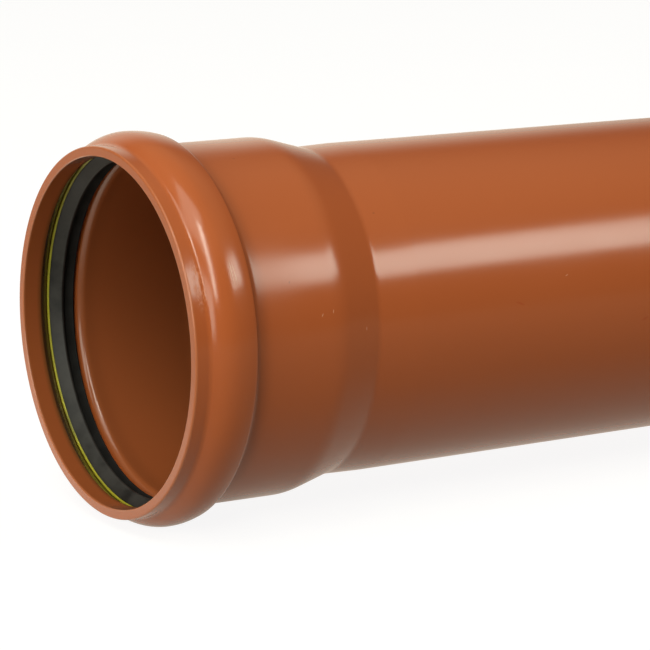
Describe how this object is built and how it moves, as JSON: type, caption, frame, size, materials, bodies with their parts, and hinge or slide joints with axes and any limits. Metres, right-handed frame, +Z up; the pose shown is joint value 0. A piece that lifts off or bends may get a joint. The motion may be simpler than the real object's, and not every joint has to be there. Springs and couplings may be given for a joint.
{
  "type": "pvc drain pipe",
  "caption": "Orange-brown solid-wall drain pipe with a belled push-fit socket at one end, a lip seal held in the socket's groove by a retaining ring, and a chamfered plain end.",
  "frame": {"origin": "On the pipe's axis, half way between the socket's mouth and the plain end: the centre of the bounding box.", "axes": "+X along the pipe's axis, from the socket's mouth to the plain end. +Z up. The pipe lies on its socket's crown on a floor at z = -0.1164."},
  "size_m": [1.0986, 0.2327, 0.2328],
  "materials": {
    "pvc": "extruded orange-brown PVC, satin gloss, with light handling scuffs",
    "rubber": "moulded dark grey rubber, matte",
    "ring_plastic": "moulded yellow-green plastic, satin"
  },
  "bodies": {
    "root": {"pipe": "pvc", "seal_ring": "rubber", "retaining_ring": "ring_plastic"}
  },
  "joints": []
}
